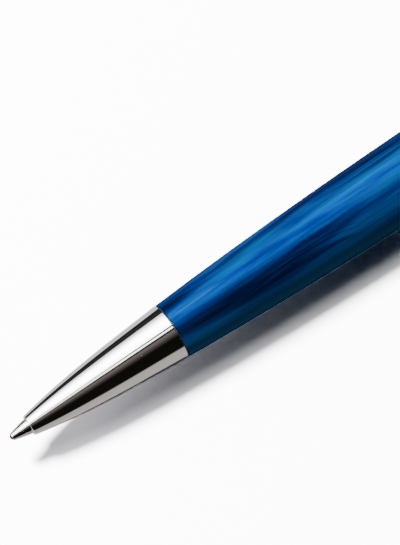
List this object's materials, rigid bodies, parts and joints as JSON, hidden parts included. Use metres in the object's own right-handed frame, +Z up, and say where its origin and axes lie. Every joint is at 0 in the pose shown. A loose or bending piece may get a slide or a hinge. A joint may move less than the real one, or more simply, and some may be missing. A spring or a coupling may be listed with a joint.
{
  "type": "twist-action ballpoint pen",
  "caption": "Twist-action ballpoint pen with a swelling marbled resin barrel, polished nose cone, centre ring, sprung clip and a refill that slides out as the cap is turned.",
  "frame": {"origin": "on the table that the pen lies on, under the middle of its bounding box", "axes": "+X along the pen from the writing point to the finial, +Z up; the pen lies on its centre ring and the ball of its clip, with the clip on the -Y side"},
  "size_m": [0.14, 0.0138, 0.0124],
  "materials": {
    "marbled_resin": "polished marbled blue resin, azure to near-black navy streaks along the pen",
    "polished_chrome": "mirror-polished plating",
    "nickel_silver": "turned, slightly warm grey metal",
    "carbide": "fine dark ground ball",
    "brass": "turned brass",
    "refill_steel": "drawn steel tube",
    "spring_steel": "drawn wire",
    "ink_paste": "thick blue-black ink",
    "grey_acetal": "moulded acetal",
    "black_nitrile": "black rubber",
    "black_nylon": "black nylon"
  },
  "bodies": {
    "barrel": {"barrel_shell": "marbled_resin", "barrel_liner": "brass", "stator_tube": "brass", "retaining_ring": "spring_steel", "turning_seal": "black_nitrile", "thrust_washer": "black_nylon"},
    "nose_seal": {"nose_washer": "black_nitrile"},
    "nose": {"nose_cone": "polished_chrome", "return_spring": "spring_steel"},
    "refill": {"refill_point": "nickel_silver", "refill_neck": "brass", "refill_tube": "refill_steel", "ink_column": "ink_paste", "refill_plug": "grey_acetal", "follower_plunger": "grey_acetal", "cross_pin": "spring_steel"},
    "ball": {"writing_ball": "carbide"},
    "cap": {"cap_shell": "marbled_resin", "centre_ring": "polished_chrome", "cap_liner": "brass", "liner_plug": "brass", "cam_sleeve": "grey_acetal", "clip_seat": "polished_chrome", "clip_pin": "spring_steel", "clip_spring": "spring_steel", "finial": "polished_chrome", "finial_inlay": "marbled_resin"},
    "clip": {"clip": "polished_chrome"}
  },
  "joints": [
    {"name": "cap_twist", "type": "hinge", "parent": "barrel", "child": "cap", "pos_m": [0.0091, 0.00073, 0.0062], "axis": [1, 0, 0], "range_deg": [0, 180]},
    {"name": "refill_slide", "type": "slide", "parent": "barrel", "child": "refill", "axis": [1, 0, 0], "range_m": [0, 0.005], "deforming": ["return_spring"]},
    {"name": "ball_roll", "type": "hinge", "parent": "refill", "child": "ball", "pos_m": [-0.06949, 0.00073, 0.0062], "axis": [0, 1, 0], "continuous": true},
    {"name": "clip_lift", "type": "hinge", "parent": "cap", "child": "clip", "pos_m": [0.05998, -0.00261, 0.00365], "axis": [0, -0.6065, 0.7951], "range_deg": [0, 5], "stiffness_Nm_per_rad": 0.05, "deforming": ["clip_spring"]},
    {"name": "nose_travel", "type": "slide", "parent": "barrel", "child": "nose_seal", "axis": [-1, 0, 0], "range_m": [0, 0.007]},
    {"name": "nose_unscrew", "type": "hinge", "parent": "nose_seal", "child": "nose", "pos_m": [-0.04259, 0.00073, 0.0062], "axis": [-1, 0, 0], "range_deg": [0, 2520]}
  ],
  "couplings": [
    {"joint": "cap_twist", "follows": "refill_slide", "rad_per_m": 628.32},
    {"joint": "nose_unscrew", "follows": "nose_travel", "rad_per_m": 6283.2}
  ]
}
